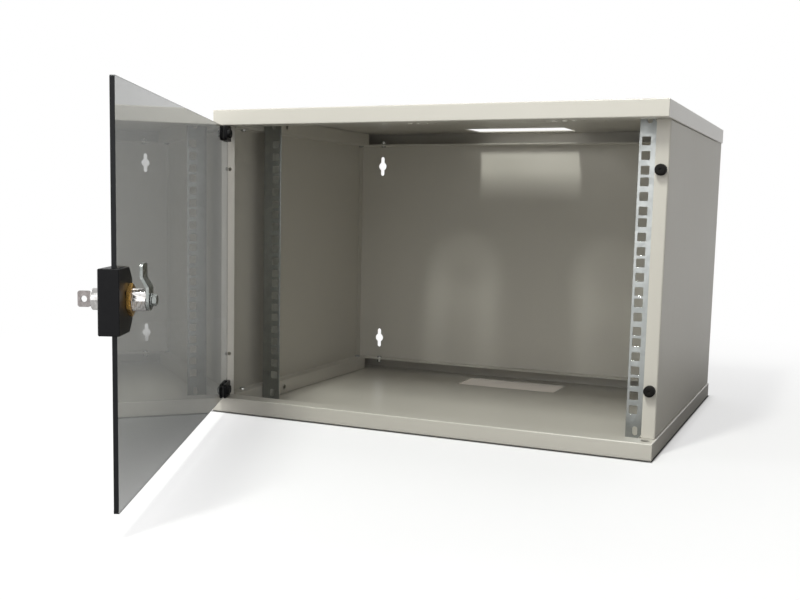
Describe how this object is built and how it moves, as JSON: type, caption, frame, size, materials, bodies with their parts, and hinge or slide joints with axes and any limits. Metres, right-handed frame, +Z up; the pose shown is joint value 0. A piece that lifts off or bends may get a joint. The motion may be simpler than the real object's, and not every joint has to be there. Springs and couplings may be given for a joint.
{
  "type": "wall mount network cabinet",
  "caption": "Small steel wall cabinet for 19-inch network equipment, with square-hole rack rails, fan grilles, cable entries and a lockable tinted glass door on pin hinges.",
  "frame": {"origin": "centre of the underside of the bottom pan", "axes": "+X to the cabinet's right as seen from the front, +Y towards the wall, +Z up"},
  "size_m": [0.54, 0.9228, 0.372],
  "materials": {
    "cabinet_paint": "light grey powder coat, satin",
    "rail_zinc": "bright zinc plating with a blue cast",
    "screw_steel": "zinc plated",
    "bumper_rubber": "black rubber",
    "bush_black": "black moulded nylon",
    "tinted_glass": "grey tinted safety glass",
    "clamp_black": "black die-cast, satin paint",
    "pad_grey": "soft vinyl pad",
    "bracket_black": "black painted, satin",
    "lock_chrome": "bright chrome",
    "nut_brass": "turned brass",
    "cam_steel": "zinc plated pressing",
    "key_nickel": "nickel plated"
  },
  "bodies": {
    "cabinet": {"bottom_pan": "cabinet_paint", "top_cover": "cabinet_paint", "left_side_panel": "cabinet_paint", "right_side_panel": "cabinet_paint", "back_panel": "cabinet_paint", "pan_screws": "screw_steel", "cover_screws": "screw_steel", "pan_nuts": "screw_steel", "cover_nuts": "screw_steel", "left_rack_rail": "rail_zinc", "right_rack_rail": "rail_zinc", "rail_screws": "screw_steel", "rail_nuts": "screw_steel", "lower_bumper": "bumper_rubber", "upper_bumper": "bumper_rubber", "lower_pivot_bush": "bush_black", "upper_pivot_bush": "bush_black"},
    "door": {"door_glass": "tinted_glass", "lower_hinge_clamp": "clamp_black", "upper_hinge_clamp": "clamp_black", "lower_hinge_pin": "screw_steel", "upper_hinge_pin": "screw_steel", "lower_clamp_pads": "pad_grey", "upper_clamp_pads": "pad_grey", "lower_clamp_screws": "clamp_black", "upper_clamp_screws": "clamp_black", "lock_bracket": "bracket_black", "bracket_pads": "pad_grey", "lock_barrel": "lock_chrome", "lock_nut": "nut_brass"},
    "lock": {"lock_plug": "lock_chrome", "lock_cam": "cam_steel", "cam_screw": "screw_steel"},
    "key": {"key": "key_nickel"}
  },
  "joints": [
    {"name": "door_hinge", "type": "hinge", "parent": "cabinet", "child": "door", "pos_m": [-0.2605, -0.2098, 0.186], "axis": [0, 0, 1], "range_deg": [-113.5, 66.5]},
    {"name": "lock_turn", "type": "hinge", "parent": "door", "child": "lock", "pos_m": [-0.06152, -0.66741, 0.184], "axis": [0.9171, 0.3987, 0], "range_deg": [0, 90]},
    {"name": "key_pull", "type": "slide", "parent": "lock", "child": "key", "axis": [-0.9171, -0.3987, 0], "range_m": [0, 0.03]}
  ]
}
